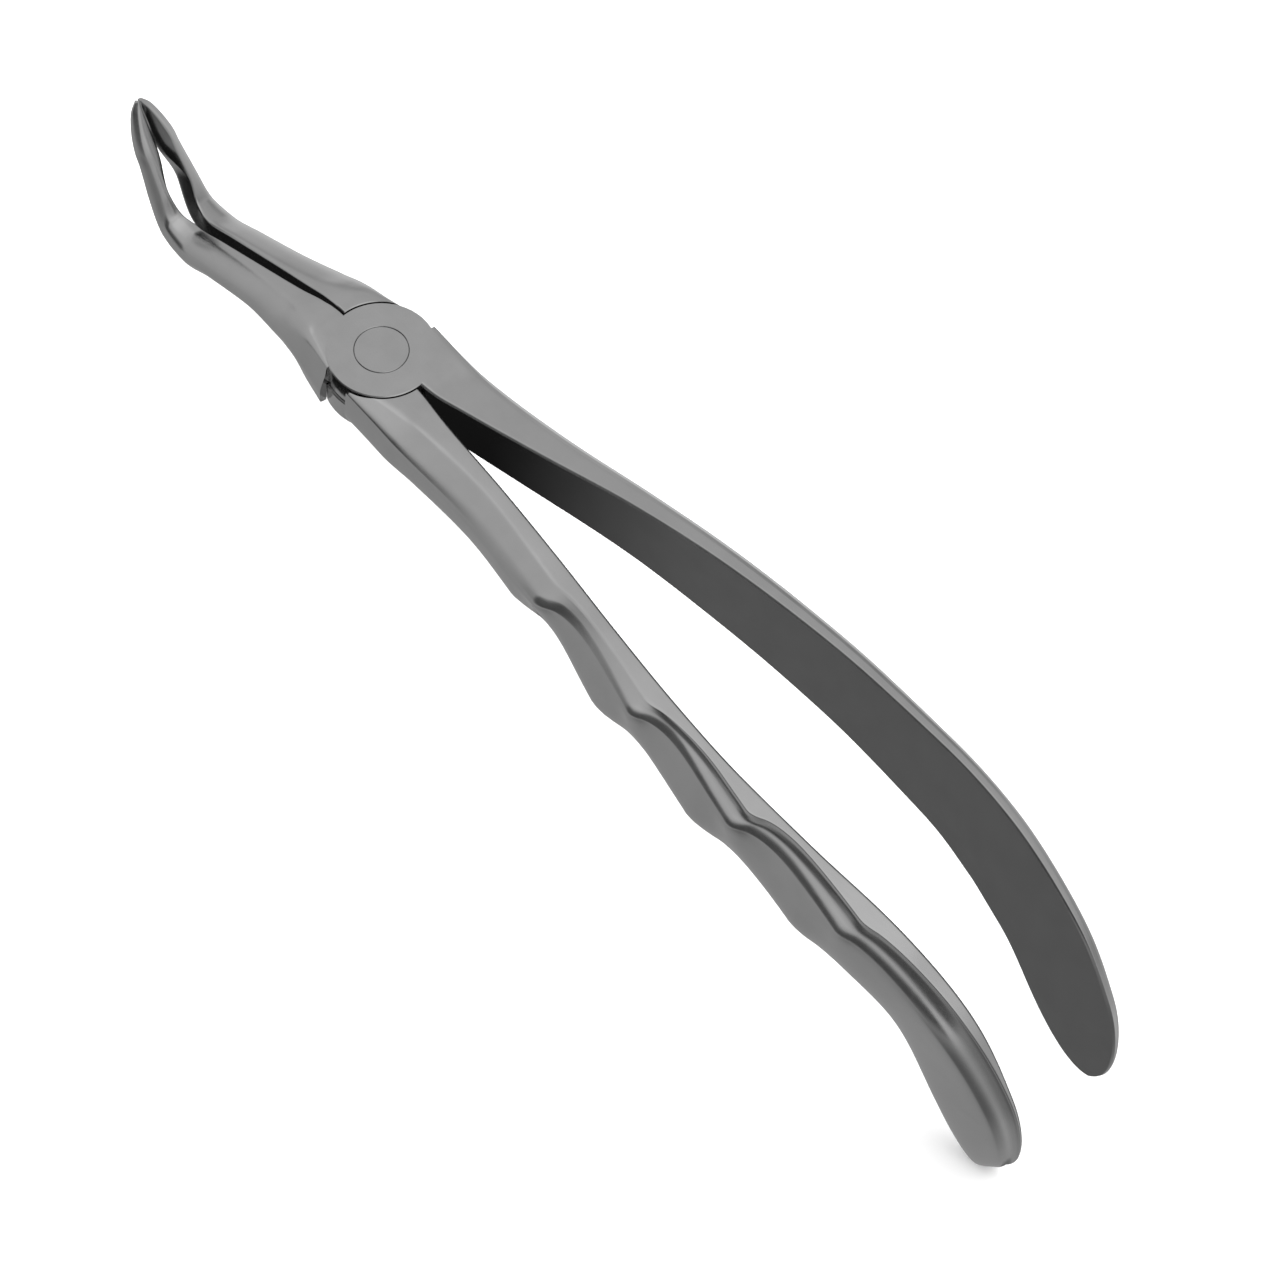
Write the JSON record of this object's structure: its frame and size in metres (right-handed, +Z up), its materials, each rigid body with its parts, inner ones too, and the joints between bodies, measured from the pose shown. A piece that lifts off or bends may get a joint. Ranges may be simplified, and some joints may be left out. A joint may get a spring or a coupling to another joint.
{
  "type": "dental extraction forceps",
  "caption": "Closed dental extraction forceps with an angled beak, a riveted lap joint, a smooth handle and a handle with slanted finger grooves.",
  "frame": {"origin": "middle of the rivet's flush upper face, on the pivot axis", "axes": "+X along the handles away from the beak, +Y towards the smooth handle, +Z up the pivot axis"},
  "size_m": [0.1666, 0.0294, 0.0405],
  "materials": {
    "smooth_handle_half": "satin",
    "finger_grip_half": "satin",
    "joint_rivet": "satin"
  },
  "bodies": {
    "grip_body": {"finger_grip_half": "finger_grip_half", "joint_rivet": "joint_rivet"},
    "smooth_body": {"smooth_handle_half": "smooth_handle_half"}
  },
  "joints": [
    {"name": "jaw_opening", "type": "hinge", "parent": "grip_body", "child": "smooth_body", "pos_m": [0, 0, -0.0035], "axis": [0, 0, 1], "range_deg": [0, 30]}
  ]
}
